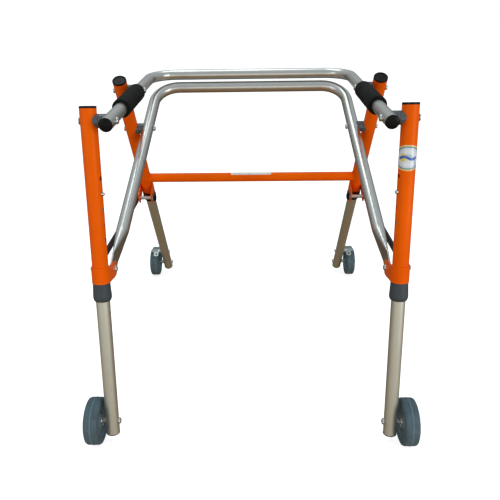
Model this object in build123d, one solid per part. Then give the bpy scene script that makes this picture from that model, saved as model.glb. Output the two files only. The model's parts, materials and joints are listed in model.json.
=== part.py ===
from build123d import *
import os
from math import atan2, cos, degrees, hypot, radians, sin

# Reverse four-wheeled folding walker.  Millimetres, +Z up, +X to the right, -Y towards the open
# end where the user steps in.  The origin lies on the floor, midway between the outermost points.

# ---------------------------------------------------------------- driving dimensions
POST_D, LEG_D, HANDLE_D, LOWER_D, CROSS_D = 32.0, 28.0, 26.0, 28.0, 25.0
WALL = 1.5

POST_X = 296.0              # middle plane of the posts, from the centre line
HANDLE_X = 257.0            # side runs of the handle tube
LOWER_X = 256.0             # side runs of the lower tube, where they cross the rear posts
LOWER_END_X = 282.2         # flattened ends of the lower tube
WHEELBASE = 807.4
FRONT_TILT, REAR_TILT = 9.5, 33.4   # degrees from vertical

FRONT_WHEEL_R, FRONT_WHEEL_W = 50.0, 30.0
REAR_WHEEL_R, REAR_WHEEL_W = 46.0, 28.0
FRONT_WHEEL_X, REAR_WHEEL_X = 331.5, 336.0
FRONT_HUB_R, REAR_HUB_R, BEARING_R = 36.0, 33.0, 13.0
GROOVE_PITCH = 4.0          # fine grooves round the rear tyres

# distances down each post's axis, from the open top of the tube
FRONT_POST_LEN, FRONT_AXLE_AT, FRONT_LEG_TOP, FRONT_LEG_END = 345.0, 648.0, 142.0, 675.0
REAR_POST_LEN, REAR_AXLE_AT, REAR_LEG_TOP, REAR_LEG_END = 396.0, 789.2, 202.0, 815.0
FRONT_PIVOT_AT, REAR_PIVOT_AT, LOWER_PIVOT_AT = 23.0, 26.5, 148.0
FRONT_STRAP_AT, REAR_STRAP_AT, CROSS_TUBE_AT, PAWL_BOLT_AT = 321.0, 373.0, 338.0, 723.0

HOLE_PITCH, HOLE_COUNT, HOLE_R = 30.0, 5, 4.2
FRONT_HOLES_FROM, REAR_HOLES_FROM = 129.0, 192.0
BUTTON_HOLE = 1             # the snap button sits in the second hole
HOLE_TURN = 12.0            # the holes face inwards and this far round to the front, degrees

STRAP_T, STRAP_H, EAR_LEN, EAR_HOLE = 2.2, 32.0, 54.0, 43.0
HANDLE_OVERHANG, HANDLE_REACH, HANDLE_BEND = 31.0, 489.0, 64.0
GRIP_FROM, GRIP_TO, GRIP_D = 96.0, 266.0, 38.0
LOWER_REACH, LOWER_BEND = 157.0, 63.0
PLATE_T, PLATE_H, PLATE_END, TAPER_END = 3.2, 41.0, 26.0, 98.0
EYE_R = 13.2                # open eye in the lower tube's ends, leaves room for the pivot bolt
BOLT_R, RUN = 4.0, 0.05     # M8 bolts, and the running clearance round them
BAR_T, BAR_H, BAR_TAIL = 3.5, 18.0, 14.0
NOTCH_W, NOTCH_SLANT = 9.6, 35.5     # hook notch, its mouth leaning this far towards the pivot
SADDLE_R = 13.0
FRONT_CAP, REAR_CAP = (7.0, 1.9), (5.8, 4.0)      # radius and height of the pivot bolts' outer domes

# ---------------------------------------------------------------- frames down each tube
OVERALL = WHEELBASE + FRONT_WHEEL_R + REAR_WHEEL_R
FRONT_AXLE = (-OVERALL / 2 + FRONT_WHEEL_R, FRONT_WHEEL_R)
REAR_AXLE = (OVERALL / 2 - REAR_WHEEL_R, REAR_WHEEL_R)


def side_frame(point, direction):
    """Frame whose Z runs along a tube and whose X stays the walker's X."""
    return Plane(origin=(0, point[0], point[1]), x_dir=(1, 0, 0), z_dir=(0, direction[0], direction[1]))


def heading(start, end):
    length = hypot(end[0] - start[0], end[1] - start[1])
    return ((end[0] - start[0]) / length, (end[1] - start[1]) / length), length


def step(point, direction, distance):
    return (point[0] + direction[0] * distance, point[1] + direction[1] * distance)


FRONT_DOWN = (-sin(radians(FRONT_TILT)), -cos(radians(FRONT_TILT)))
REAR_DOWN = (sin(radians(REAR_TILT)), -cos(radians(REAR_TILT)))
FRONT_BACK = (-FRONT_DOWN[1], FRONT_DOWN[0])      # square to the front post, towards the rear
REAR_AHEAD = (REAR_DOWN[1], -REAR_DOWN[0])        # square to the rear post, towards the front
FRONT_TOP = step(FRONT_AXLE, FRONT_DOWN, -FRONT_AXLE_AT)
REAR_TOP = step(REAR_AXLE, REAR_DOWN, -REAR_AXLE_AT)

PIVOT_HANDLE_FRONT = step(FRONT_TOP, FRONT_DOWN, FRONT_PIVOT_AT)
PIVOT_HANDLE_REAR = step(REAR_TOP, REAR_DOWN, REAR_PIVOT_AT)
PIVOT_LOWER_REAR = step(REAR_TOP, REAR_DOWN, LOWER_PIVOT_AT)
PIVOT_LOWER_FRONT = step(step(FRONT_TOP, FRONT_DOWN, FRONT_STRAP_AT), FRONT_BACK, EAR_HOLE)
HOOK_PIN = step(step(REAR_TOP, REAR_DOWN, REAR_STRAP_AT), REAR_AHEAD, EAR_HOLE)

HANDLE_DIR, PIVOT_SPAN = heading(PIVOT_HANDLE_FRONT, PIVOT_HANDLE_REAR)
LOWER_DIR, LOWER_SPAN = heading(PIVOT_LOWER_FRONT, PIVOT_LOWER_REAR)
BAR_DIR, BAR_SPAN = heading(PIVOT_LOWER_FRONT, HOOK_PIN)

FRONT = side_frame(FRONT_TOP, FRONT_DOWN)
REAR = side_frame(REAR_TOP, REAR_DOWN)
HANDLE = side_frame(PIVOT_HANDLE_FRONT, HANDLE_DIR)
LOWER = side_frame(PIVOT_LOWER_FRONT, LOWER_DIR)
BAR = side_frame(PIVOT_LOWER_FRONT, BAR_DIR)


# ---------------------------------------------------------------- building blocks
def rod(radius, start, end, x=0.0):
    """Round bar along a frame's Z."""
    return Pos(x, 0, (start + end) / 2) * Cylinder(radius, end - start)


def pin(radius, x_from, x_to, at=0.0, offset=0.0):
    """Round bar along X, 'at' down the frame's Z and 'offset' along its Y."""
    return Pos((x_from + x_to) / 2, offset, at) * Rot(0, 90, 0) * Cylinder(radius, abs(x_to - x_from))


def turned(points, x=0.0):
    """Ring turned round a frame's Z from (radius, height) points."""
    outline = Polyline(*[(r, 0, h) for r, h in points], close=True)
    return Pos(x, 0, 0) * revolve(make_face(outline), Axis.Z)


def spun(points, x=0.0):
    """Ring turned round the X axis from (along X, radius) points."""
    outline = Polyline(*[(a, r, 0) for a, r in points], close=True)
    return Pos(x, 0, 0) * revolve(make_face(outline), Axis.X)


def dome_head(x_from, direction, at=0.0, offset=0.0, radius=6.8, height=4.6):
    """Button head of a bolt, its flat side at x_from, crowned towards direction."""
    head = pin(radius, x_from, x_from + direction * height, at, offset)
    crown = head.faces().sort_by(Axis.X)[-1 if direction > 0 else 0]
    return fillet(crown.edges(), height * 0.8)


def hex_nut(x_from, x_to, at=0.0, offset=0.0, across=13.0, hole=BOLT_R):
    """Hexagon nut on an X axis with rounded corners and a bore."""
    blank = extrude(Plane.YZ * RegularPolygon(across / 2, 6, major_radius=False), x_to - x_from)
    rounder = spun([(0, hole), (x_to - x_from, hole), (x_to - x_from, across * 0.5),
                    (x_to - x_from - 1.0, across * 0.58), (1.0, across * 0.58), (0, across * 0.54)])
    return Pos(x_from, offset, at) * (blank & rounder)


def washer(radius, x_from, x_to, at=0.0, offset=0.0, hole=BOLT_R):
    return pin(radius, x_from, x_to, at, offset) - pin(hole, x_from, x_to, at, offset)


def save(name, *solids):
    """Write one node; several solids in it stay separate."""
    shape = solids[0] if len(solids) == 1 else Compound(children=list(solids))
    shape.label = name
    export_step(shape, os.path.join("parts", name + ".step"))


def other_side(shape):
    return mirror(shape, about=Plane.YZ)


def save_pair(name, build):
    """Write the right-hand piece and its mirror image as two nodes."""
    save(name + "_right", *as_list(build))
    save(name + "_left", *[other_side(s) for s in as_list(build)])


def save_both(name, build):
    """Write the right and left pieces together as one node."""
    right = as_list(build)
    save(name, *right, *[other_side(s) for s in right])


def as_list(build):
    return list(build) if isinstance(build, (list, tuple)) else [build]


def cross_hole(x_from, x_to, at, radius=BOLT_R + RUN, offset=0.0):
    return pin(radius, x_from, x_to, at, offset)


def height_pin(radius, reach_from, reach_to, at):
    """Bar square to a post's axis on the line of its height holes; reaches are from that axis."""
    return Pos(POST_X, 0, 0) * Rot(0, 0, -HOLE_TURN) * pin(radius, -reach_to, -reach_from, at)


# ---------------------------------------------------------------- posts and legs
def post(length, holes_from, pivots):
    """Painted outer tube with pivot holes and a row of height holes in its inner wall."""
    tube = rod(POST_D / 2, 0, length, POST_X) - rod(POST_D / 2 - WALL, -1, length + 1, POST_X)
    for at in pivots:
        tube -= cross_hole(POST_X - POST_D, POST_X + POST_D, at)
    for k in range(HOLE_COUNT):
        tube -= height_pin(HOLE_R, 0, POST_D, holes_from + k * HOLE_PITCH)
    return tube


def post_cap():
    """Flanged plug in the open top of a post: raised rim, dished middle and a low centre boss."""
    inner = POST_D / 2 - WALL - 0.1
    return turned([(0, -3.0), (4.6, -3.0), (5.4, -2.2), (11.8, -2.2), (13.0, -3.8), (14.2, -4.3),
                   (15.2, -4.1), (16.1, -3.0), (16.1, 0), (inner, 0), (inner, 11), (inner - 2, 12),
                   (inner - 2, 2), (0, 2)], POST_X)


def leg(top, end, button_at, bolts):
    tube = rod(LEG_D / 2, top, end, POST_X) - rod(LEG_D / 2 - WALL, top - 1, end + 1, POST_X)
    tube -= height_pin(HOLE_R, 0, LEG_D, button_at)
    for at, radius in bolts:
        tube -= cross_hole(POST_X - LEG_D, POST_X + LEG_D, at, radius)
    return tube


def leg_plug(end):
    """Push-in end plug with a thin rim, below the last bolt."""
    inner = LEG_D / 2 - WALL - 0.1
    return turned([(0, end + 3.2), (9, end + 3.2), (13.6, end + 2), (LEG_D / 2 + 0.3, end + 1),
                   (LEG_D / 2 + 0.3, end), (inner, end), (inner, end - 9), (0, end - 9)], POST_X)


def snap_button(at):
    """Sprung button that stands out of a post's inner wall."""
    radius = HOLE_R - 0.35
    body = pin(radius, -POST_D / 2 - 5.2, -LEG_D / 2 - 0.3, at)
    body = fillet(body.faces().sort_by(Axis.X)[0].edges(), radius * 0.92)
    return Pos(POST_X, 0, 0) * Rot(0, 0, -HOLE_TURN) * body


def strap(at, toward):
    """U-shaped strap round a post with two ears; toward is +1 or -1 along the frame's Y."""
    inner = POST_D / 2
    outer = inner + STRAP_T
    middle = toward * EAR_LEN / 2
    outline = (Circle(outer) + Pos(0, middle) * Rectangle(2 * outer, EAR_LEN)
               - Circle(inner) - Pos(0, middle) * Rectangle(2 * inner, EAR_LEN))
    body = Pos(POST_X, 0, at - STRAP_H / 2) * extrude(outline, STRAP_H)
    tips = body.edges().filter_by(Axis.X).group_by(Axis.Y)[-1 if toward > 0 else 0]
    body = fillet(tips, 8.0)
    return body - pin(BOLT_R, POST_X - 2 * outer, POST_X + 2 * outer, at, toward * EAR_HOLE)


def collar(strap_at, post_end):
    """Moulded collar under a strap that guides the leg and covers the post's end."""
    run, top = LEG_D / 2 + RUN, strap_at + STRAP_H / 2 + 0.3
    post_in, post_out, end = POST_D / 2 - WALL - 0.05, POST_D / 2 + 0.05, post_end
    return turned([(run, end - 24), (post_in, end - 24), (post_in, end), (post_out, end),
                   (post_out, top), (17.2, top), (17.5, top + 8), (18.6, end + 20), (18.4, end + 24),
                   (16.6, end + 29), (15.4, end + 30), (run, end + 30)], POST_X)


def post_saddle(at):
    """Moulded spacer seated on the inside of a post, round a pivot bolt."""
    face = HANDLE_X + HANDLE_D / 2 + 5.7
    block = pin(SADDLE_R, face, POST_X - 4, at)
    return block - rod(POST_D / 2, at - 40, at + 40, POST_X) - cross_hole(face - 1, POST_X, at)


def cross_tube():
    """Tube welded between the rear posts, coped to fit round them."""
    tube = Pos(0, 0, CROSS_TUBE_AT) * Rot(0, 90, 0) * Cylinder(CROSS_D / 2, 2 * POST_X)
    bore = Pos(0, 0, CROSS_TUBE_AT) * Rot(0, 90, 0) * Cylinder(CROSS_D / 2 - WALL, 2 * POST_X)
    reach = (CROSS_TUBE_AT - 60, CROSS_TUBE_AT + 60)
    posts = rod(POST_D / 2, *reach, POST_X) + rod(POST_D / 2, *reach, -POST_X)
    return (tube - bore) - posts


# ---------------------------------------------------------------- bent tubes
def bent_tube(half_start, half_end, start, end, bend, diameter):
    """U-shaped tube in a frame's XZ plane: up one side, across and back down the other."""
    route = FilletPolyline((half_start, 0, start), (half_end, 0, end), (-half_end, 0, end),
                           (-half_start, 0, start), radius=bend)
    section = Plane(origin=route @ 0, z_dir=route % 0)
    outside = sweep(section * Circle(diameter / 2), path=route)
    inside = sweep(section * Circle(diameter / 2 - WALL), path=route)
    return outside - inside


def handle_tube():
    tube = bent_tube(HANDLE_X, HANDLE_X, -HANDLE_OVERHANG, HANDLE_REACH, HANDLE_BEND, HANDLE_D)
    for side in (1, -1):
        for at in (0, PIVOT_SPAN):
            tube -= cross_hole(side * (HANDLE_X - HANDLE_D), side * (HANDLE_X + HANDLE_D), at, BOLT_R)
    return tube


def handle_plug():
    inner, end = HANDLE_D / 2 - WALL - 0.1, -HANDLE_OVERHANG
    return turned([(0, end - 3.4), (8, end - 3.0), (11.6, end - 2), (HANDLE_D / 2, end - 0.8),
                   (HANDLE_D / 2, end), (inner, end), (inner, end + 12), (0, end + 12)], HANDLE_X)


def grip():
    """Soft foam sleeve on the handle's side run."""
    body = rod(GRIP_D / 2, GRIP_FROM, GRIP_TO, HANDLE_X)
    body = fillet(body.edges().filter_by(GeomType.CIRCLE), 3.0)
    return body - rod(HANDLE_D / 2, GRIP_FROM - 1, GRIP_TO + 1, HANDLE_X)


def tube_saddle(frame_x, seat, at):
    """Moulded spacer seated on a silver tube, round a pivot bolt."""
    face = HANDLE_X + HANDLE_D / 2 + 4.5
    block = pin(SADDLE_R, frame_x + 3, face, at)
    return block - seat - pin(BOLT_R, frame_x, face + 1, at)


def pivot_bolt(inner_x, at, cap):
    """Bolt through a silver tube and a post: shank, button head inside and a low dome outside."""
    outer = POST_X + POST_D / 2 + 0.3
    radius, height = cap
    shank = pin(BOLT_R, inner_x, outer + height / 2, at) + dome_head(inner_x, -1, at)
    return [shank + dome_head(outer, 1, at, 0, radius, height)]


def pivot_washer(at):
    middle = HANDLE_X + HANDLE_D / 2 + 4.5
    return [washer(11.0, middle, middle + 0.9, at)]


def lower_side(at):
    """X of the lower tube's side run at a distance along it from the front pivot."""
    return LOWER_END_X + (LOWER_X - LOWER_END_X) * at / LOWER_SPAN


def handle_seat():
    return rod(HANDLE_D / 2, -HANDLE_OVERHANG, PIVOT_SPAN + SADDLE_R * 2, HANDLE_X)


def lower_seat():
    """Solid bar that fills the lower tube's leaning side run round its pivot."""
    lean = degrees(atan2(LOWER_X - LOWER_END_X, LOWER_SPAN))
    return Pos(LOWER_X, 0, LOWER_SPAN) * Rot(0, lean, 0) * Cylinder(LOWER_D / 2, 4 * SADDLE_R)


def lower_tube():
    """U-tube whose legs spread towards the front and are pressed flat there, with open eyes."""
    end = LOWER_SPAN + LOWER_REACH
    half = PLATE_T / 2
    tube = bent_tube(lower_side(TAPER_END), lower_side(end), TAPER_END, end, LOWER_BEND, LOWER_D)
    for side in (1, -1):
        round_end = Plane(origin=(side * lower_side(TAPER_END), 0, TAPER_END), x_dir=(0, 1, 0),
                          z_dir=(side * (lower_side(end) - LOWER_END_X), 0, end))
        flat_end = Plane(origin=(side * LOWER_END_X, 0, PLATE_END), x_dir=(0, 1, 0), z_dir=(0, 0, 1))
        nearly_round = round_end * SlotOverall(LOWER_D + 0.4, LOWER_D)
        taper = loft([nearly_round, flat_end * SlotOverall(PLATE_H, PLATE_T)], ruled=True)
        plate = Pos(side * LOWER_END_X, 0, PLATE_END / 2) * Box(PLATE_T, PLATE_H, PLATE_END)
        plate += pin(PLATE_H / 2, side * LOWER_END_X - half, side * LOWER_END_X + half)
        plate -= pin(EYE_R, side * LOWER_END_X - PLATE_T, side * LOWER_END_X + PLATE_T)
        tube = tube + (taper + plate)
        tube -= pin(BOLT_R, side * (LOWER_X - LOWER_D), side * (LOWER_X + LOWER_D), LOWER_SPAN)
    return tube


# ---------------------------------------------------------------- lower pivots and hook bars
EAR_IN = POST_X - POST_D / 2 - STRAP_T
EAR_OUT = POST_X + POST_D / 2 + STRAP_T
BAR_IN = EAR_OUT + 0.5
BAR_OUT = BAR_IN + BAR_T


def lower_pivot():
    """Bolt through both ears, its spacer sleeve, and the nut outside the hook bar."""
    sleeve_from, sleeve_to = LOWER_END_X + PLATE_T / 2 + 0.5, POST_X + POST_D / 2
    at, off = FRONT_STRAP_AT, -EAR_HOLE
    bolt = pin(BOLT_R, EAR_IN, BAR_OUT + 10.5, at, off) + dome_head(EAR_IN, -1, at, off)
    sleeve = washer(7.0, sleeve_from, sleeve_to, at, off)
    ring = washer(8.5, BAR_OUT + 0.3, BAR_OUT + 1.5, at, off)
    return [bolt, sleeve, ring, hex_nut(BAR_OUT + 1.5, BAR_OUT + 8.5, at, off)]


def hook_bar():
    """Flat bar that pivots on the lower pivot bolt and hooks over the rear cross pin."""
    thick = (BAR_IN + BAR_OUT) / 2
    tail_centre = BAR_SPAN + BAR_TAIL - BAR_H / 2
    blank = Pos(thick, 0, tail_centre / 2) * Box(BAR_T, BAR_H, tail_centre)
    blank += pin(BAR_H / 2, BAR_IN, BAR_OUT)
    blank += pin(BAR_H / 2, BAR_IN, BAR_OUT, tail_centre)
    notch = Pos(thick, BAR_H, 0) * Box(3 * BAR_T, 2 * BAR_H, NOTCH_W)
    notch += pin(NOTCH_W / 2, BAR_IN - BAR_T, BAR_OUT + BAR_T)
    notch = Pos(0, 0, BAR_SPAN) * Rot(-NOTCH_SLANT, 0, 0) * notch
    return blank - notch - cross_hole(BAR_IN - 1, BAR_OUT + 1, 0)


KNOB_NUT = 4.0              # thickness of the nut between the rear ear and the knob


def cross_pin():
    """Pin through the rear ears that the hook bar rests on, sleeved between them and headed outside."""
    end, at, off = BAR_OUT + 0.6, REAR_STRAP_AT, EAR_HOLE
    body = pin(BOLT_R, EAR_IN - 8, end, at, off) + pin(7.0, end, end + 2.6, at, off)
    sleeve = pin(5.2, POST_X - POST_D / 2 + 0.2, POST_X + POST_D / 2 - 0.2, at, off)
    return [body + sleeve, hex_nut(EAR_IN - KNOB_NUT, EAR_IN, at, off)]


def pin_knob():
    """Rounded moulded knob on the inner end of the cross pin."""
    back, at, off = EAR_IN - KNOB_NUT - 0.1, REAR_STRAP_AT, EAR_HOLE
    knob = pin(10.3, back - 7, back, at, off)
    knob = fillet(knob.faces().sort_by(Axis.X)[0].edges(), 4.5)
    return knob - pin(BOLT_R, EAR_IN - 8, EAR_IN + 1, at, off)


# ---------------------------------------------------------------- wheels
def tyre(radius, width, hub_radius, moulding):
    """Solid rubber tyre with rounded shoulders; moulding lists its tread lines as (across, height)."""
    half, edge = width / 2, 4.5
    tread = radius - max(0.0, *[height for _, height in moulding])
    outline = [(-half, hub_radius), (-half, tread - edge), (-half + 1.3, tread - 1.5),
               (-half + edge, tread)]
    for across, height in moulding:
        outline += [(across - 1.1, tread), (across - 0.5, tread + height),
                    (across + 0.5, tread + height), (across + 1.1, tread)]
    outline += [(half - edge, tread), (half - 1.3, tread - 1.5), (half, tread - edge),
                (half, hub_radius)]
    return spun(outline)


def wheel_core(width, rim_radius, seat_radius):
    """Moulded wheel centre: a dished web between the rim and the bearing boss."""
    half = width / 2
    right = [(half - 1.5, rim_radius), (half - 2.5, rim_radius - 3), (half - 6, rim_radius - 5),
             (half - 6, seat_radius + 5), (half - 2, seat_radius + 3), (half - 2, seat_radius)]
    left = [(-a, r) for a, r in reversed(right)]
    return spun(right + left)


def bearings(width, seat_radius):
    """Two flanged bearings, one in each end of the boss."""
    end, depth = width / 2 - 1.0, 7.0
    ring = [(end - depth, BOLT_R + RUN), (end, BOLT_R + RUN), (end, 6.0), (end - 1.2, 6.6),
            (end - 1.2, seat_radius - 3), (end, seat_radius - 2.4), (end, seat_radius),
            (end - depth, seat_radius)]
    return [spun(ring), spun([(-a, r) for a, r in ring])]


def axle(at, wheel_x, width):
    """Axle bolt through the leg, spacer sleeve, wheel washers and lock nut."""
    leg_in, leg_out = POST_X - LEG_D / 2, POST_X + LEG_D / 2
    hub_in, hub_out = wheel_x - width / 2 + 1.0, wheel_x + width / 2 - 1.0
    bolt = pin(BOLT_R, leg_in, hub_out + 9.0, at) + dome_head(leg_in, -1, at)
    sleeve = washer(6.0, leg_out, hub_in - 0.35, at)
    ring = washer(8.0, hub_out + 0.35, hub_out + 1.5, at)
    return [bolt, sleeve, ring, hex_nut(hub_out + 1.5, hub_out + 8.0, at)]


def pawl_bolt():
    leg_in, leg_out = POST_X - LEG_D / 2, POST_X + LEG_D / 2
    bolt = pin(3.0, leg_in, leg_out + 9.5, PAWL_BOLT_AT) + dome_head(leg_in, -1, PAWL_BOLT_AT, 0, 5.2, 3.8)
    nut = hex_nut(leg_out + 4.4, leg_out + 8.4, PAWL_BOLT_AT, 0, 10.0, 3.0)
    return [bolt, washer(5.5, leg_out, leg_out + 1.6, PAWL_BOLT_AT, 0, 3.0), nut]


# The pawl is drawn on the rear wheel's centre: its bends are angles up from the forward direction.
PAWL_T, PAWL_IN, PAWL_R = 2.0, POST_X + LEG_D / 2 + 2.0, REAR_WHEEL_R + 5.0
PAWL_BENDS = (112, 80, 65, 46)       # back edge, start and end of the lip, end of the tab
PAWL_OUT, TAB_FROM, TAB_TO = 344.5, 320.5, 336.5
BACK_ROUND, TAB_ROUND = 6.0, 6.5


def on_wheel(angle, radius):
    return (REAR_AXLE[0] - radius * cos(radians(angle)), REAR_AXLE[1] + radius * sin(radians(angle)))


def pawl():
    """Roll-back stop: an arm on its own bolt, a plate and lip over the wheel, and a drilled tab."""
    pivot = step(REAR_TOP, REAR_DOWN, PAWL_BOLT_AT)
    back, lip_start, lip_end, tab_end = (on_wheel(angle, PAWL_R) for angle in PAWL_BENDS)
    rims = [Pos(*pivot) * Circle(7.0)] + [Pos(*bend) * Circle(3.0) for bend in (back, lip_start, lip_end)]
    arm_shape = make_hull([edge for rim in rims for edge in rim.edges()])
    arm = extrude(Plane(origin=(PAWL_IN, 0, 0), x_dir=(0, 1, 0), z_dir=(1, 0, 0)) * arm_shape, PAWL_T)
    arm -= Pos(0, pivot[0], pivot[1]) * Rot(0, 90, 0) * Cylinder(3.0 + RUN, 4 * POST_X)
    plate = sheet_between(lip_start, back, PAWL_IN, PAWL_OUT, BACK_ROUND)
    lip = sheet_between(lip_start, lip_end, PAWL_IN, PAWL_OUT, PAWL_T * 0.4)
    tab = sheet_between(lip_end, tab_end, TAB_FROM, TAB_TO, TAB_ROUND)
    middle = ((lip_end[0] + tab_end[0]) / 2, (lip_end[1] + tab_end[1]) / 2)
    across, _ = heading(lip_end, tab_end)
    drill = Pos((TAB_FROM + TAB_TO) / 2, 0, 0) * Cylinder(2.8, 20)
    drill = side_frame(middle, (-across[1], across[0])) * drill
    return arm + plate + lip + (tab - drill)


def sheet_between(start, end, x_from, x_to, corner):
    """Flat strip of sheet between two side-view points, its far outer corners rounded."""
    direction, length = heading(start, end)
    frame = side_frame(start, direction)
    middle = (x_from + x_to) / 2
    sheet = Pos(middle, 0, length / 2) * Box(x_to - x_from, PAWL_T, length + PAWL_T * 0.8)
    far = sheet.edges().filter_by(Axis.Y).group_by(Axis.Z)[-1]
    return frame * fillet(far, corner)


def build_wheel(name, axle_point, wheel_x, radius, width, hub_radius, seat_radius, moulding):
    place = Pos(wheel_x, axle_point[0], axle_point[1])
    save_pair(name + "_tyre", place * tyre(radius, width, hub_radius, moulding))
    save_pair(name + "_hub", place * wheel_core(width, hub_radius, seat_radius))


def placed(frame, solids):
    return [frame * s for s in as_list(solids)]


def main():
    os.makedirs("parts", exist_ok=True)

    # handle: one bent tube with plugs, foam grips and its four pivot bolts
    save("handle_tube", HANDLE * handle_tube())
    save_both("handle_end_plugs", placed(HANDLE, handle_plug()))
    save_pair("grip", placed(HANDLE, grip()))
    handle_pivots = (0, PIVOT_SPAN)
    save_both("handle_saddles", placed(HANDLE, [tube_saddle(HANDLE_X, handle_seat(), at)
                                                for at in handle_pivots]))
    bolts = [s for at, cap in zip(handle_pivots, (FRONT_CAP, REAR_CAP))
             for s in pivot_bolt(HANDLE_X - HANDLE_D / 2, at, cap) + pivot_washer(at)]
    save_both("handle_pivot_bolts", placed(HANDLE, bolts))

    # front posts, each with its cap, strap, collar, saddle and lower pivot
    front_button = FRONT_HOLES_FROM + BUTTON_HOLE * HOLE_PITCH
    save_pair("front_post", placed(FRONT, post(FRONT_POST_LEN, FRONT_HOLES_FROM, [FRONT_PIVOT_AT])))
    save_pair("front_post_cap", placed(FRONT, post_cap()))
    save_pair("front_strap", placed(FRONT, strap(FRONT_STRAP_AT, -1)))
    save_pair("front_collar", placed(FRONT, collar(FRONT_STRAP_AT, FRONT_POST_LEN)))
    save_pair("front_saddle", placed(FRONT, post_saddle(FRONT_PIVOT_AT)))
    save_pair("lower_pivot_bolt", placed(FRONT, lower_pivot()))
    save_pair("hook_bar", placed(BAR, hook_bar()))
    save_pair("front_snap_button", placed(FRONT, snap_button(front_button)))

    # front legs and wheels
    save_pair("front_leg", placed(FRONT, leg(FRONT_LEG_TOP, FRONT_LEG_END, front_button,
                                             [(FRONT_AXLE_AT, BOLT_R)])))
    save_pair("front_leg_plug", placed(FRONT, leg_plug(FRONT_LEG_END)))
    save_pair("front_axle", placed(FRONT, axle(FRONT_AXLE_AT, FRONT_WHEEL_X, FRONT_WHEEL_W)))
    build_wheel("front_wheel", FRONT_AXLE, FRONT_WHEEL_X, FRONT_WHEEL_R, FRONT_WHEEL_W, FRONT_HUB_R,
                BEARING_R, [(0.0, 0.5)])
    place = Pos(FRONT_WHEEL_X, FRONT_AXLE[0], FRONT_AXLE[1])
    save_pair("front_wheel_bearings", [place * b for b in bearings(FRONT_WHEEL_W, BEARING_R)])

    # rear frame: two posts, the welded cross tube, straps, pins and knobs
    rear_button = REAR_HOLES_FROM + BUTTON_HOLE * HOLE_PITCH
    rear_pivots = [REAR_PIVOT_AT, LOWER_PIVOT_AT]
    save_pair("rear_post", placed(REAR, post(REAR_POST_LEN, REAR_HOLES_FROM, rear_pivots)))
    save("rear_cross_tube", REAR * cross_tube())
    save_both("rear_post_caps", placed(REAR, post_cap()))
    save_both("rear_straps", placed(REAR, strap(REAR_STRAP_AT, 1)))
    save_both("rear_collars", placed(REAR, collar(REAR_STRAP_AT, REAR_POST_LEN)))
    save_both("rear_saddles", placed(REAR, [post_saddle(at) for at in rear_pivots]))
    save_both("hook_pins", placed(REAR, cross_pin()))
    save_both("hook_pin_knobs", placed(REAR, pin_knob()))
    save_pair("rear_snap_button", placed(REAR, snap_button(rear_button)))

    # lower tube with its rear pivot bolts
    save("lower_tube", LOWER * lower_tube())
    lower_at = LOWER_SPAN
    save_both("lower_saddles", placed(LOWER, tube_saddle(LOWER_X, lower_seat(), lower_at)))
    head_x = LOWER_X - LOWER_D / 2 - 0.5
    save_both("lower_frame_bolts", placed(LOWER, pivot_bolt(head_x, lower_at, REAR_CAP)
                                         + pivot_washer(lower_at)))

    # rear legs, roll-back stops and wheels
    save_pair("rear_leg", placed(REAR, leg(REAR_LEG_TOP, REAR_LEG_END, rear_button,
                                           [(REAR_AXLE_AT, BOLT_R), (PAWL_BOLT_AT, 3.0)])))
    save_pair("rear_leg_plug", placed(REAR, leg_plug(REAR_LEG_END)))
    save_pair("rear_axle", placed(REAR, axle(REAR_AXLE_AT, REAR_WHEEL_X, REAR_WHEEL_W) + pawl_bolt()))
    save_pair("roll_back_pawl", pawl())
    grooves = [(k * GROOVE_PITCH, -0.6) for k in (-2, -1, 0, 1, 2)]
    build_wheel("rear_wheel", REAR_AXLE, REAR_WHEEL_X, REAR_WHEEL_R, REAR_WHEEL_W, REAR_HUB_R,
                BOLT_R + RUN, grooves)


main()
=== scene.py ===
import json
import math

import bpy
from mathutils import Matrix, Vector, noise


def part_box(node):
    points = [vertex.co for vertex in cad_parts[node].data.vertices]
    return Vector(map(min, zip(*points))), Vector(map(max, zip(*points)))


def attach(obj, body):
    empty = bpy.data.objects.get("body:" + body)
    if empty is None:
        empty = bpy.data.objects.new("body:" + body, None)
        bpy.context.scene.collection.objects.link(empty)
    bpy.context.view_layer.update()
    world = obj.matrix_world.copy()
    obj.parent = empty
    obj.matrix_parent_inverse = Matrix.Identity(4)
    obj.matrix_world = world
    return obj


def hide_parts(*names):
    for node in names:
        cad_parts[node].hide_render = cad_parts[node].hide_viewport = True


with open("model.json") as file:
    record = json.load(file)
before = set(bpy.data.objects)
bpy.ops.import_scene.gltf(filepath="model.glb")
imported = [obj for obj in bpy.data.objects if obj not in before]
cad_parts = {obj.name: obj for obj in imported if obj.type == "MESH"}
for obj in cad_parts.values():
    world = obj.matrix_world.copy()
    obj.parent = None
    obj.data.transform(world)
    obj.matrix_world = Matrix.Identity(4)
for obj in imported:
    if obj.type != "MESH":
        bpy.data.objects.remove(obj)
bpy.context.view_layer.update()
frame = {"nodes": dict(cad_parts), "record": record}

MM = 0.001
X_AXIS, Z_AXIS = Vector((1, 0, 0)), Vector((0, 0, 1))
SIDES = {"left": -1, "right": 1}
JOINTS = {joint["name"]: joint for joint in frame["record"]["behaviour"]["joints"]}


def pivot(joint):
    return Vector(JOINTS[joint]["pos_m"])


def direction(joint):
    return Vector(JOINTS[joint]["axis"])


# ------------------------------------------------------------------ colours (linear)
def from_srgb(red, green, blue):
    """Linear colour from the 0..255 values a screen shows."""
    parts = [channel / 255 for channel in (red, green, blue)]
    linear = [c / 12.92 if c <= 0.04045 else ((c + 0.055) / 1.055) ** 2.4 for c in parts]
    return (*linear, 1.0)


def shade(colour, factor):
    return (*(channel * factor for channel in colour[:3]), 1.0)


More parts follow.
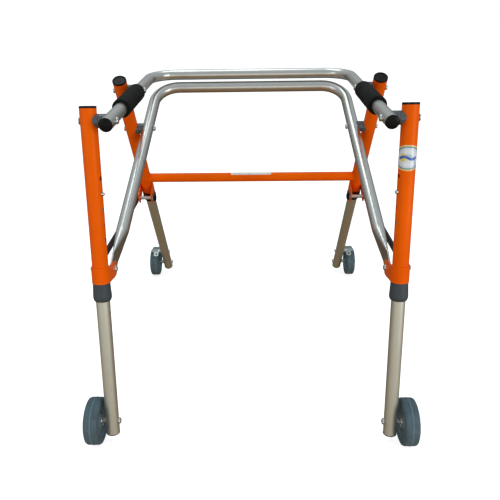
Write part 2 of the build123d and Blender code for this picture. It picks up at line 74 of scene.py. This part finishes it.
ORANGE = from_srgb(255, 103, 0)
ORANGE_DEEP = from_srgb(244, 93, 0)
ORANGE_GLINT = (1.0, 0.5, 0.15, 1)         # tint of the orange paint's reflections
BRIGHT = from_srgb(196, 196, 192)
SATIN = from_srgb(202, 203, 192)
ZINC = from_srgb(196, 198, 196)
PLATE = from_srgb(150, 158, 155)
FOAM = from_srgb(8, 11, 12)
BLACK = from_srgb(8, 9, 10)
BAR_BLACK = from_srgb(34, 36, 38)
GREY_PLASTIC = from_srgb(78, 86, 92)
COLLAR = from_srgb(66, 75, 80)
TYRE = from_srgb(84, 104, 113)
HUB = from_srgb(100, 122, 132)

WHITE_FILM = from_srgb(232, 240, 244)
LILAC_FILM = from_srgb(206, 214, 236)
BLUE_FILM = from_srgb(34, 92, 176)
PALE_BLUE_FILM = from_srgb(150, 178, 214)
TEAL_FILM = from_srgb(36, 128, 150)
YELLOW_FILM = from_srgb(232, 208, 66)
SILVER_FILM = from_srgb(226, 223, 217)
DULL_SILVER_FILM = from_srgb(190, 184, 176)
CLEAN_SILVER_FILM = from_srgb(236, 234, 230)

WHITE = (1, 1, 1, 1)
OFF, ON = (0, 0, 0, 1), (1, 1, 1, 1)       # the two ends of a mask


# ------------------------------------------------------------------ shader graphs
class Graph:
    """Small helper that adds linked nodes to a node tree."""

    def __init__(self, tree):
        self.nodes = tree.nodes
        self.links = tree.links

    def feed(self, socket, source):
        """Link an output to a socket, or set the socket to a constant."""
        if hasattr(source, "links"):
            self.links.new(source, socket)
        else:
            socket.default_value = source

    def split(self, vector):
        node = self.nodes.new("ShaderNodeSeparateXYZ")
        self.links.new(vector, node.inputs["Vector"])
        return node.outputs["X"], node.outputs["Y"], node.outputs["Z"]

    def math(self, operation, first, second=0.0):
        node = self.nodes.new("ShaderNodeMath")
        node.operation = operation
        for socket, source in zip(node.inputs, (first, second)):
            self.feed(socket, source)
        return node.outputs["Value"]

    def ramp(self, source, low, high, low_value, high_value):
        """Source remapped from low..high to low_value..high_value."""
        node = self.nodes.new("ShaderNodeMapRange")
        for socket, value in zip(("From Min", "From Max", "To Min", "To Max"),
                                 (low, high, low_value, high_value)):
            node.inputs[socket].default_value = value
        self.links.new(source, node.inputs["Value"])
        return node.outputs["Result"]

    def colours(self, source, stops):
        """Colour ramp over source; stops are (position, colour)."""
        node = self.nodes.new("ShaderNodeValToRGB")
        elements = node.color_ramp.elements
        while len(elements) < len(stops):
            elements.new(0.5)
        for element, (position, colour) in zip(elements, stops):
            element.position = position
            element.color = colour
        self.links.new(source, node.inputs["Fac"])
        return node.outputs["Color"]

    def mix(self, factor, under, over):
        node = self.nodes.new("ShaderNodeMix")
        node.data_type = "RGBA"
        self.links.new(factor, node.inputs["Factor"])
        colour_a, colour_b, colour_result = 6, 7, 2      # the node's colour sockets
        self.feed(node.inputs[colour_a], under)
        self.feed(node.inputs[colour_b], over)
        return node.outputs[colour_result]


class Surface(Graph):
    """One procedural material built from object coordinates."""

    def __init__(self, name, metallic=0.0, coat=0.0):
        self.material = bpy.data.materials.new(name)
        self.material.use_nodes = True
        super().__init__(self.material.node_tree)
        self.shader = self.nodes["Principled BSDF"]
        self.shader.inputs["Metallic"].default_value = metallic
        self.shader.inputs["Coat Weight"].default_value = coat
        self.shader.inputs["Coat Roughness"].default_value = 0.12
        self.coords = self.nodes.new("ShaderNodeTexCoord").outputs["Object"]

    def stretched(self, scale):
        """Object coordinates scaled apart from one another, for drawn or brushed grain."""
        mapping = self.nodes.new("ShaderNodeMapping")
        mapping.inputs["Scale"].default_value = scale
        self.links.new(self.coords, mapping.inputs["Vector"])
        return mapping.outputs["Vector"]

    def noise(self, scale, detail=4.0, rough=0.55, coords=None):
        texture = self.nodes.new("ShaderNodeTexNoise")
        texture.inputs["Scale"].default_value = scale
        texture.inputs["Detail"].default_value = detail
        texture.inputs["Roughness"].default_value = rough
        self.links.new(coords or self.coords, texture.inputs["Vector"])
        return texture.outputs["Fac"]

    def cells(self, scale):
        texture = self.nodes.new("ShaderNodeTexVoronoi")
        texture.inputs["Scale"].default_value = scale
        self.links.new(self.coords, texture.inputs["Vector"])
        return texture.outputs["Distance"]

    def specular(self, level):
        self.shader.inputs["Specular IOR Level"].default_value = level

    def base(self, colour):
        self.links.new(colour, self.shader.inputs["Base Color"])

    def rough(self, value):
        self.links.new(value, self.shader.inputs["Roughness"])

    def bump(self, height, strength, distance_mm):
        node = self.nodes.new("ShaderNodeBump")
        node.inputs["Strength"].default_value = strength
        node.inputs["Distance"].default_value = distance_mm * MM
        self.links.new(height, node.inputs["Height"])
        self.links.new(node.outputs["Normal"], self.shader.inputs["Normal"])


# ------------------------------------------------------------------ materials
def painted(name, colour, deep, gloss=0.26, glint=WHITE):
    """Powder coat: slight orange peel, faint tone change and a few dull rubbed patches."""
    surface = Surface(name, coat=0.03)
    surface.specular(0.2)
    surface.shader.inputs["Specular Tint"].default_value = glint
    tone = surface.noise(9.0, 3.0)
    rubbed = surface.noise(38.0, 6.0, 0.7)
    body = surface.colours(tone, [(0.3, deep), (0.65, colour)])
    specks = surface.colours(rubbed, [(0.72, OFF), (0.80, ON)])
    surface.base(surface.mix(specks, body, shade(deep, 0.72)))
    surface.rough(surface.ramp(rubbed, 0.35, 0.75, gloss, gloss + 0.16))
    surface.bump(surface.noise(420.0, 2.0), 0.18, 0.25)
    return surface.material


def drawn_metal(name, colour, roughness, grain, brush=(1.0, 0.06, 1.0)):
    """Drawn tube: light handling marks in the gloss, fine grain along the brush's low axis."""
    surface = Surface(name, metallic=1.0)
    lines = surface.noise(900.0, 2.0, 0.5, surface.stretched(brush))
    marks = surface.noise(60.0, 7.0, 0.72)
    surface.base(surface.colours(marks, [(0.3, shade(colour, 0.95)), (0.6, colour)]))
    surface.rough(surface.ramp(marks, 0.3, 0.75, roughness, roughness + 0.08))
    surface.bump(lines, grain, 0.05)
    return surface.material


def moulded(name, colour, roughness, grain_scale, grain, specular=0.3):
    """Moulded plastic with spark texture and slight dust."""
    surface = Surface(name)
    surface.specular(specular)
    dust = surface.noise(55.0, 6.0, 0.7)
    surface.base(surface.colours(dust, [(0.35, shade(colour, 0.85)), (0.62, colour),
                                        (0.85, shade(colour, 1.3))]))
    surface.rough(surface.ramp(dust, 0.3, 0.8, roughness, roughness + 0.15))
    surface.bump(surface.noise(grain_scale, 3.0), grain, 0.2)
    return surface.material


def foam_rubber():
    """Closed-cell foam: open cut cells with painted shade in their pits, dull, slightly lighter
    where hands polish it.
    """
    surface = Surface("foam_rubber")
    surface.specular(0.15)
    cell = surface.cells(520.0)
    worn = surface.noise(30.0, 5.0, 0.6)
    tone = surface.colours(worn, [(0.35, shade(FOAM, 0.75)), (0.7, shade(FOAM, 1.35))])
    pit_shade = surface.colours(cell, [(0.12, ON), (0.38, OFF)])
    # the cell pits are painted darker: painted shade in the recesses
    surface.base(surface.mix(pit_shade, tone, shade(FOAM, 0.35)))
    surface.rough(surface.ramp(worn, 0.3, 0.8, 0.82, 0.68))
    surface.bump(cell, 0.55, 0.7)
    return surface.material


SEAM_X, SEAM_HALF = 331.5 * MM, 0.6 * MM   # moulding seam round the middle of a front tyre
SEAM_SOFT = 1.6                            # the seam fades out at this many half widths


def tyre_rubber():
    """Solid grey rubber with dusty tread, fine moulding texture and a painted highlight on the
    raised seam.
    """
    surface = Surface("tyre_rubber")
    surface.specular(0.25)
    dust = surface.noise(42.0, 7.0, 0.68)
    rubber = surface.colours(dust, [(0.3, shade(TYRE, 0.72)), (0.55, TYRE),
                                    (0.8, shade(TYRE, 1.28))])
    x, _, _ = surface.split(surface.coords)
    off_seam = surface.math("SUBTRACT", surface.math("ABSOLUTE", x), SEAM_X)
    seam_highlight = surface.ramp(surface.math("ABSOLUTE", off_seam),
                        SEAM_HALF, SEAM_HALF * SEAM_SOFT, 1.0, 0.0)
    # the raised seam is painted lighter than the rubber: a painted highlight
    surface.base(surface.mix(seam_highlight, rubber, shade(TYRE, 1.9)))
    surface.rough(surface.ramp(dust, 0.3, 0.8, 0.5, 0.72))
    surface.bump(surface.noise(700.0, 3.0), 0.3, 0.3)
    return surface.material


class Film(Surface):
    """Printed film drawn on the label's own flat coordinates, in millimetres from its middle."""

    def __init__(self, name):
        super().__init__(name, coat=0.4)
        flat = self.nodes["Texture Coordinate"].outputs["UV"]
        self.across, self.along, _ = self.split(flat)
        self.rough(self.ramp(self.noise(60.0), 0.3, 0.7, 0.28, 0.42))
        self.bump(self.noise(260.0, 2.0), 0.08, 0.1)

    def spread(self, wide, high, x=0.0, y=0.0):
        """1 on an ellipse of these half sizes round a point, less inside it."""
        across = self.math("DIVIDE", self.math("SUBTRACT", self.across, x), wide)
        along = self.math("DIVIDE", self.math("SUBTRACT", self.along, y), high)
        return self.math("SQRT", self.math("ADD", self.math("POWER", across, 2.0),
                                           self.math("POWER", along, 2.0)))

    def inside(self, distance, edge=1.0, soft=0.06):
        return self.ramp(distance, edge - soft, edge + soft, 1.0, 0.0)


# The badge's drawing, in millimetres measured flat
LABEL_HALF_WIDE, LABEL_HALF_HIGH = 34.0, 23.4
ARC = {"wide": 22.0, "high": 20.0, "x": 4.0, "y": 12.0}
SPOT = {"wide": 6.5, "high": 7.5, "x": 9.0, "y": -0.5}
WAVE_RISE, WAVE_TURN = 2.2, 0.22           # height, and radians for each millimetre across
BAND_HALF_LONG, BAND_HALF_HIGH = 17.0, 2.5


def post_label_film():
    """Pale oval badge with a yellow and teal rim and a plain swoosh, without lettering."""
    film = Film("post_label_film")
    field = film.colours(film.spread(LABEL_HALF_WIDE, LABEL_HALF_HIGH), [
        (0.0, LILAC_FILM), (0.55, WHITE_FILM), (0.80, LILAC_FILM),
        (0.82, TEAL_FILM), (0.88, TEAL_FILM),
        (0.90, YELLOW_FILM), (0.97, YELLOW_FILM), (0.99, WHITE_FILM)])
    off_arc = film.math("ABSOLUTE", film.math("SUBTRACT", film.spread(**ARC), 0.86))
    field = film.mix(film.inside(off_arc, 0.05, 0.04), field, PALE_BLUE_FILM)
    field = film.mix(film.inside(film.spread(**SPOT)), field, YELLOW_FILM)
    swing = film.math("SINE", film.math("MULTIPLY", film.across, WAVE_TURN))
    off_wave = film.math("ADD", film.along, film.math("MULTIPLY", swing, WAVE_RISE))
    band = film.math("MAXIMUM",
                     film.math("DIVIDE", film.math("ABSOLUTE", off_wave), BAND_HALF_HIGH),
                     film.math("DIVIDE", film.math("ABSOLUTE", film.across), BAND_HALF_LONG))
    film.base(film.mix(film.inside(band), field, BLUE_FILM))
    return film.material


def strip_film():
    """Small silvery strip with faint smudges."""
    film = Film("cross_tube_film")
    smudge = film.noise(120.0, 5.0, 0.7)
    film.base(film.colours(smudge, [(0.3, DULL_SILVER_FILM), (0.5, SILVER_FILM),
                                    (0.8, CLEAN_SILVER_FILM)]))
    return film.material


ALONG_POSTS, EVEN = (1.0, 1.0, 0.05), (1.0, 1.0, 1.0)      # brush scales of drawn_metal

MATERIALS = {
    "orange_paint": painted("orange_paint", ORANGE, ORANGE_DEEP, glint=ORANGE_GLINT),
    "black_bar": painted("black_bar", BAR_BLACK, shade(BAR_BLACK, 0.6), 0.34),
    "bright_tube": drawn_metal("bright_tube", BRIGHT, 0.27, 0.10),
    "bright_plate": drawn_metal("bright_plate", PLATE, 0.30, 0.12),
    "satin_leg": drawn_metal("satin_leg", SATIN, 0.46, 0.16, ALONG_POSTS),
    "zinc_steel": drawn_metal("zinc_steel", ZINC, 0.30, 0.08, EVEN),
    "button_metal": drawn_metal("button_metal", ZINC, 0.22, 0.04, EVEN),
    "black_plastic": moulded("black_plastic", BLACK, 0.30, 600.0, 0.30, 0.14),
    "grey_plastic": moulded("grey_plastic", GREY_PLASTIC, 0.24, 500.0, 0.10, 0.6),
    "collar_plastic": moulded("collar_plastic", COLLAR, 0.44, 450.0, 0.25),
    "hub_plastic": moulded("hub_plastic", HUB, 0.50, 500.0, 0.25),
    "tyre_rubber": tyre_rubber(),
    "foam": foam_rubber(),
}


def dress_frame():
    """Give every CAD node the procedural material of its slot."""
    for part in frame["record"]["subparts"]:
        mesh = frame["nodes"][part["node"]].data
        mesh.materials.clear()
        mesh.materials.append(MATERIALS[part["material_slot"]])


# ------------------------------------------------------------------ mesh helpers
def mesh_piece(name, points, faces, material, smooth=True):
    mesh = bpy.data.meshes.new(name)
    mesh.from_pydata([tuple(p) for p in points], [], faces)
    mesh.validate()
    piece = bpy.data.objects.new(name, mesh)
    bpy.context.collection.objects.link(piece)
    mesh.materials.append(material)
    for polygon in mesh.polygons:
        polygon.use_smooth = smooth
    return piece


def ring_faces(rings, around, closed):
    """Quads between neighbouring rings of points; closed joins the last ring to the first."""
    faces = []
    for ring in range(rings if closed else rings - 1):
        after = (ring + 1) % rings
        for k in range(around):
            step = (k + 1) % around
            faces.append((ring * around + k, ring * around + step,
                          after * around + step, after * around + k))
    return faces


def lathe(centre, axis, profile, around, ripple=0.0, seed=0.0):
    """Closed profile of (along, radius) turned round an axis, with a faint irregular ripple."""
    axis = axis.normalized()
    side = axis.cross(Z_AXIS).normalized()
    up = side.cross(axis)
    points = []
    for along, radius in profile:
        for k in range(around):
            angle = 2 * math.pi * k / around
            out = side * math.cos(angle) + up * math.sin(angle)
            place = centre + axis * along
            wobble = ripple * noise.noise((place + out * radius) * 55.0 + Vector((seed, 0, 0)))
            points.append(place + out * (radius + wobble))
    return points, ring_faces(len(profile), around, closed=True)


# ------------------------------------------------------------------ foam grips
GRIP_START, GRIP_END = 96 * MM, 266 * MM   # from the front pivot towards the rear one
GRIP_RADIUS, GRIP_BORE = 19 * MM, 13.02 * MM
GRIP_EDGE, GRIP_EDGE_STEPS = 4.5 * MM, 8
GRIP_FULLNESS, GRIP_RIPPLE = 0.12 * MM, 0.35 * MM
GRIP_RINGS, GRIP_AROUND = 90, 72


def grip_profile():
    """Outline of a sleeve: soft rounded ends, a slightly full middle, then back down the bore."""
    run = GRIP_END - GRIP_START - 2 * GRIP_EDGE
    edge = []
    for k in range(GRIP_EDGE_STEPS + 1):
        turn = math.pi / 2 * k / GRIP_EDGE_STEPS
        edge.append((GRIP_EDGE * (1 - math.sin(turn)),
                     GRIP_RADIUS - GRIP_EDGE * (1 - math.cos(turn))))
    near = [(GRIP_START + along, radius) for along, radius in reversed(edge)]
    middle = []
    for k in range(1, GRIP_RINGS):
        share = k / GRIP_RINGS
        middle.append((GRIP_START + GRIP_EDGE + run * share,
                       GRIP_RADIUS + GRIP_FULLNESS * math.sin(math.pi * share)))
    far = [(GRIP_END - along, radius) for along, radius in edge]
    bore = [(GRIP_END, GRIP_BORE), (GRIP_START, GRIP_BORE)]
    return near + middle + far + bore


def make_grips():
    for side, sign in SIDES.items():
        start = pivot("front_post_pivot_" + side)
        along = pivot("fold") - start
        along.x = 0
        low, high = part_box("grip_" + side)
        start.x = (low.x + high.x) / 2
        points, faces = lathe(start, along, grip_profile(), GRIP_AROUND, GRIP_RIPPLE, 7.0 * sign)
        grip = mesh_piece("foam_grip_" + side, points, faces, MATERIALS["foam"])
        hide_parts("grip_" + side)
        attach(grip, "handle")


# ------------------------------------------------------------------ labels
POST_RADIUS, CROSS_RADIUS = 16 * MM, 12.5 * MM
FILM_TOP, FILM_UNDER = 0.25 * MM, 0.02 * MM                # above the tube's wall
LABEL_AT = 72 * MM                         # down the right front post from its handle pivot
LABEL_FACING = Vector((-0.2, -1, 0))
LABEL_ROWS, LABEL_COLUMNS = 40, 48
STRIP_AT = 1 * MM                          # right of the cross tube's middle
STRIP_FACING = Vector((0, -0.375, 0.927))
STRIP_HALF_LONG, STRIP_HALF_WIDE, STRIP_CORNER = 56.0, 5.0, 1.5      # millimetres
STRIP_ROWS, STRIP_COLUMNS = 16, 60


def oval(v):
    """Half width of the badge in millimetres at a height from -1 to 1."""
    return LABEL_HALF_WIDE * math.sqrt(max(0.0004, 1 - v * v))


def rounded_strip(v):
    """Half length of the strip in millimetres at a height from -1 to 1, with round corners."""
    inset = max(0.0, abs(v) * STRIP_HALF_WIDE - (STRIP_HALF_WIDE - STRIP_CORNER))
    return STRIP_HALF_LONG - STRIP_CORNER + math.sqrt(max(0.0, STRIP_CORNER ** 2 - inset ** 2))


def flat_grid(outline, half_high, rows, columns):
    """Flat points of a film in millimetres, row by row; outline gives half of each row's width."""
    grid = []
    for i in range(rows + 1):
        v = -math.cos(math.pi * i / rows)
        for j in range(columns + 1):
            grid.append((outline(v) * (-1 + 2 * j / columns), half_high * v))
    return grid


def film_faces(rows, columns):
    """Faces of a closed film: an outer and an inner grid joined round the rim."""
    wide = columns + 1
    sheet = wide * (rows + 1)
    faces = []
    for i in range(rows):
        for j in range(columns):
            corner = i * wide + j
            quad = (corner, corner + 1, corner + wide + 1, corner + wide)
            faces.append(quad)
            faces.append(tuple(sheet + index for index in reversed(quad)))
    rim = list(range(wide))
    rim += [i * wide + columns for i in range(1, rows + 1)]
    rim += [rows * wide + j for j in range(columns - 1, -1, -1)]
    rim += [i * wide for i in range(rows - 1, 0, -1)]
    for k, first in enumerate(rim):
        second = rim[(k + 1) % len(rim)]
        faces.append((second, first, sheet + first, sheet + second))
    return faces


def wrapped(grid, centre, axis, facing, radius, rows_run_along=False):
    """Outer and inner layer of a film's points, wrapped round a tube.

    The rows go round the tube, or along it with rows_run_along."""
    axis = axis.normalized()
    facing = (facing - axis * facing.dot(axis)).normalized()
    across = axis.cross(facing)
    points = []
    for layer in (radius + FILM_TOP, radius + FILM_UNDER):
        for x, y in grid:
            bend, run = (y, x) if rows_run_along else (x, y)
            angle = bend * MM / radius
            out = facing * math.cos(angle) + across * math.sin(angle)
            points.append(centre + axis * (run * MM) + out * layer)
    return points


def film_piece(name, points, faces, grid, material):
    """A film with its flat coordinates on both of its layers."""
    piece = mesh_piece(name, points, faces, material)
    layer = piece.data.uv_layers.new(name="flat")
    for loop in piece.data.loops:
        layer.data[loop.index].uv = grid[loop.vertex_index % len(grid)]
    return piece


def make_labels():
    down = direction("front_leg_slide_right")
    centre = pivot("front_post_pivot_right") + down * LABEL_AT
    grid = flat_grid(oval, LABEL_HALF_HIGH, LABEL_ROWS, LABEL_COLUMNS)
    points = wrapped(grid, centre, down, LABEL_FACING, POST_RADIUS)
    label = film_piece("post_label", points, film_faces(LABEL_ROWS, LABEL_COLUMNS), grid,
                       post_label_film())
    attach(label, "front_post_right")

    low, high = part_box("rear_cross_tube")
    centre = (low + high) / 2
    centre.x = STRIP_AT
    grid = flat_grid(rounded_strip, STRIP_HALF_WIDE, STRIP_ROWS, STRIP_COLUMNS)
    points = wrapped(grid, centre, X_AXIS, STRIP_FACING, CROSS_RADIUS, rows_run_along=True)
    sticker = film_piece("cross_tube_label", points, film_faces(STRIP_ROWS, STRIP_COLUMNS), grid,
                         strip_film())
    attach(sticker, "rear_frame")


# ------------------------------------------------------------------ weld beads
STRAP_TOP = 305 * MM                       # down a front post from its open top
PIVOT_DOWN = 23 * MM                       # the handle pivot, down the same post
STRAP_WELD_TURN, STRAP_WELD_STEPS = 96, 60                 # degrees to each side of the front
STRAP_WELD_SIZE, STRAP_WELD_OFF = 1.5 * MM, 0.9 * MM
CROSS_WELD_STEPS = 72
CROSS_WELD_SIZE, CROSS_WELD_OFF = 1.6 * MM, 0.4 * MM
BEAD_AROUND = 10


def bead(route, size, closed, seed):
    """Lumpy round bead along a route of points, tapering at open ends."""
    count = len(route)
    points = []
    for i, place in enumerate(route):
        after, before = route[(i + 1) % count], route[i - 1]
        if not closed:
            after, before = route[min(i + 1, count - 1)], route[max(i - 1, 0)]
        along = (after - before).normalized()
        side = along.cross(Vector((0.3, 0.2, 0.93))).normalized()
        up = side.cross(along)
        coarse = noise.noise(place * 160 + Vector((seed, 0, 0)))
        fine = noise.noise(place * 420 + Vector((0, seed, 0)))
        lump = 1 + 0.28 * math.sin(i * 1.9 + seed) * coarse + 0.22 * fine
        if not closed:
            lump *= math.sqrt(max(0.04, math.sin(math.pi * i / (count - 1))))
        for k in range(BEAD_AROUND):
            angle = 2 * math.pi * k / BEAD_AROUND
            points.append(place + (side * math.cos(angle) + up * math.sin(angle)) * size * lump)
    faces = ring_faces(count, BEAD_AROUND, closed)
    if not closed:
        faces.append(tuple(reversed(range(BEAD_AROUND))))
        faces.append(tuple((count - 1) * BEAD_AROUND + k for k in range(BEAD_AROUND)))
    return points, faces


def weld(name, route, size, closed, body, seed):
    points, faces = bead(route, size, closed, seed)
    piece = mesh_piece(name, points, faces, MATERIALS["orange_paint"])
    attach(piece, body)


def strap_weld_route(side):
    """Round the front half of a post, along the strap's upper edge."""
    down = direction("front_leg_slide_" + side)
    centre = pivot("front_post_pivot_" + side) + down * (STRAP_TOP - PIVOT_DOWN)
    ahead = down.cross(X_AXIS)
    if ahead.y > 0:
        ahead = -ahead
    route = []
    for k in range(STRAP_WELD_STEPS + 1):
        angle = math.radians(STRAP_WELD_TURN * (2 * k / STRAP_WELD_STEPS - 1))
        out = ahead * math.cos(angle) + X_AXIS * math.sin(angle)
        route.append(centre + out * (POST_RADIUS + STRAP_WELD_OFF))
    return route


def cross_weld_route(side, sign):
    """Round the cross tube's end, where it meets the rear post's wall."""
    low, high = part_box("rear_cross_tube")
    middle = (low + high) / 2
    post_x = pivot("front_post_pivot_" + side).x           # the rear post has the same X
    down = direction("rear_leg_slide_" + side)
    square = down.cross(X_AXIS)
    route = []
    for k in range(CROSS_WELD_STEPS):
        angle = 2 * math.pi * k / CROSS_WELD_STEPS
        flat, tall = CROSS_RADIUS * math.cos(angle), CROSS_RADIUS * math.sin(angle)
        wall = post_x - sign * math.sqrt(POST_RADIUS ** 2 - flat ** 2)
        place = middle + square * flat + down * tall
        route.append(Vector((wall - sign * CROSS_WELD_OFF, place.y, place.z)))
    return route


def make_welds():
    for side, sign in SIDES.items():
        weld("strap_weld_" + side, strap_weld_route(side), STRAP_WELD_SIZE, False,
             "front_post_" + side, 3.0 + sign)
        weld("cross_weld_" + side, cross_weld_route(side, sign), CROSS_WELD_SIZE, True,
             "rear_frame", 11.0 + sign)


# ------------------------------------------------------------------ camera
CAMERA_PLACE = Vector((12.6, -1310.1, 854.3)) * MM
CAMERA_PITCH, CAMERA_YAW, CAMERA_ROLL = 24.04, -1.606, 0.929         # degrees
CAMERA_SENSOR, CAMERA_LENS, CAMERA_SHIFT = 36.0, 39.1, 0.0165


def make_camera():
    pitch, yaw, roll = (math.radians(a) for a in (CAMERA_PITCH, CAMERA_YAW, CAMERA_ROLL))
    ahead = Vector((math.sin(yaw) * math.cos(pitch), math.cos(yaw) * math.cos(pitch),
                    -math.sin(pitch)))
    level = Vector((math.cos(yaw), -math.sin(yaw), 0))
    down = ahead.cross(level)
    right = level * math.cos(roll) + down * math.sin(roll)
    up = level * math.sin(roll) - down * math.cos(roll)
    turn = Matrix((right, up, -ahead)).transposed()
    data = bpy.data.cameras.new("camera")
    data.sensor_width = CAMERA_SENSOR
    data.lens = CAMERA_LENS
    data.shift_x = CAMERA_SHIFT
    camera = bpy.data.objects.new("camera", data)
    camera.matrix_world = Matrix.Translation(CAMERA_PLACE) @ turn.to_4x4()
    bpy.context.collection.objects.link(camera)
    bpy.context.scene.camera = camera


# ------------------------------------------------------------------ studio
# The room from straight down (0) to straight up (1): warm below, cool above
ROOM = [(0.0, (0.26, 0.17, 0.09, 1)), (0.25, (0.40, 0.29, 0.18, 1)), (0.42, (0.50, 0.45, 0.38, 1)),
        (0.5, (0.60, 0.60, 0.56, 1)), (0.58, (0.42, 0.43, 0.43, 1)), (0.72, (0.56, 0.60, 0.61, 1)),
        (0.85, (0.52, 0.57, 0.60, 1)), (1.0, (0.70, 0.77, 0.82, 1))]
FAR_SIDE = (-0.1, 0.7, 0.0, 0.7)           # how far the room is dimmed, by direction along Y
LOW_DOWN = (0.05, 0.3, 1.0, 0.0)           # and how much of that counts, by direction along Z
AMBIENT_SHARE = 0.8                        # of the room's light that reaches dull surfaces
FLOOR_HALF, FLOOR_GLOW = 30.0, 0.7
PAPER, PAPER_LIGHT = (0.88, 0.88, 0.88, 1), (0.9, 0.9, 0.9, 1)


def make_world():
    """Soft graded room, dimmer low on the far side; plain white to the camera."""
    world = bpy.data.worlds.new("studio")
    world.use_nodes = True
    graph = Graph(world.node_tree)
    nodes, links = graph.nodes, graph.links
    coords = nodes.new("ShaderNodeTexCoord")
    _, far, height = graph.split(coords.outputs["Generated"])
    rays = nodes.new("ShaderNodeLightPath")

    dimmed = graph.math("MULTIPLY", graph.ramp(far, *FAR_SIDE), graph.ramp(height, *LOW_DOWN))
    share = graph.ramp(rays.outputs["Is Diffuse Ray"], 0.0, 1.0, 1.0, AMBIENT_SHARE)
    strength = graph.math("MULTIPLY", graph.math("SUBTRACT", 1.0, dimmed), share)
    room = nodes["Background"]
    links.new(graph.colours(graph.ramp(height, -1.0, 1.0, 0.0, 1.0), ROOM), room.inputs["Color"])
    links.new(strength, room.inputs["Strength"])

    paper = nodes.new("ShaderNodeBackground")
    paper.inputs["Color"].default_value = WHITE
    blend = nodes.new("ShaderNodeMixShader")
    links.new(rays.outputs["Is Camera Ray"], blend.inputs["Fac"])
    links.new(room.outputs["Background"], blend.inputs[1])
    links.new(paper.outputs["Background"], blend.inputs[2])
    links.new(blend.outputs["Shader"], nodes["World Output"].inputs["Surface"])
    bpy.context.scene.world = world


def make_floor():
    """White paper floor that glows a little and isn't seen in reflections."""
    points = [(-FLOOR_HALF, -FLOOR_HALF, 0), (FLOOR_HALF, -FLOOR_HALF, 0),
              (FLOOR_HALF, FLOOR_HALF, 0), (-FLOOR_HALF, FLOOR_HALF, 0)]
    paper = Surface("floor_paper")
    paper.base(paper.colours(paper.noise(3.0), [(0.3, PAPER), (0.7, PAPER_LIGHT)]))
    paper.shader.inputs["Roughness"].default_value = 0.9
    paper.shader.inputs["Emission Color"].default_value = WHITE
    paper.shader.inputs["Emission Strength"].default_value = FLOOR_GLOW
    floor = mesh_piece("floor", points, [(0, 1, 2, 3)], paper.material, smooth=False)
    floor.visible_glossy = False
    floor.visible_diffuse = False


def area_light(name, place, target, size, power, colour=(1, 1, 1)):
    data = bpy.data.lights.new(name, "AREA")
    data.shape = "RECTANGLE"
    data.size, data.size_y = size
    data.energy = power
    data.color = colour
    light = bpy.data.objects.new(name, data)
    light.location = place
    light.rotation_euler = (Vector(target) - Vector(place)).to_track_quat("-Z", "Y").to_euler()
    bpy.context.collection.objects.link(light)


def make_lights():
    area_light("top_light", (-0.3, 0.7, 2.9), (0, 0.1, 0.6), (1.6, 1.1), 15, (0.92, 0.98, 1.0))
    area_light("left_key", (-2.4, -2.5, 1.1), (0, 0, 0.35), (1.8, 1.8), 15, (1.0, 0.98, 0.95))
    area_light("right_key", (2.5, -2.3, 0.9), (0, 0, 0.35), (1.6, 1.6), 33)
    area_light("low_front", (0.0, -3.2, 0.4), (0, 0, 0.2), (3.0, 1.6), 10, (1.0, 0.99, 0.96))


bpy.context.scene.view_settings.view_transform = "Standard"
dress_frame()
make_grips()
make_labels()
make_welds()
make_camera()
make_floor()
make_world()
make_lights()
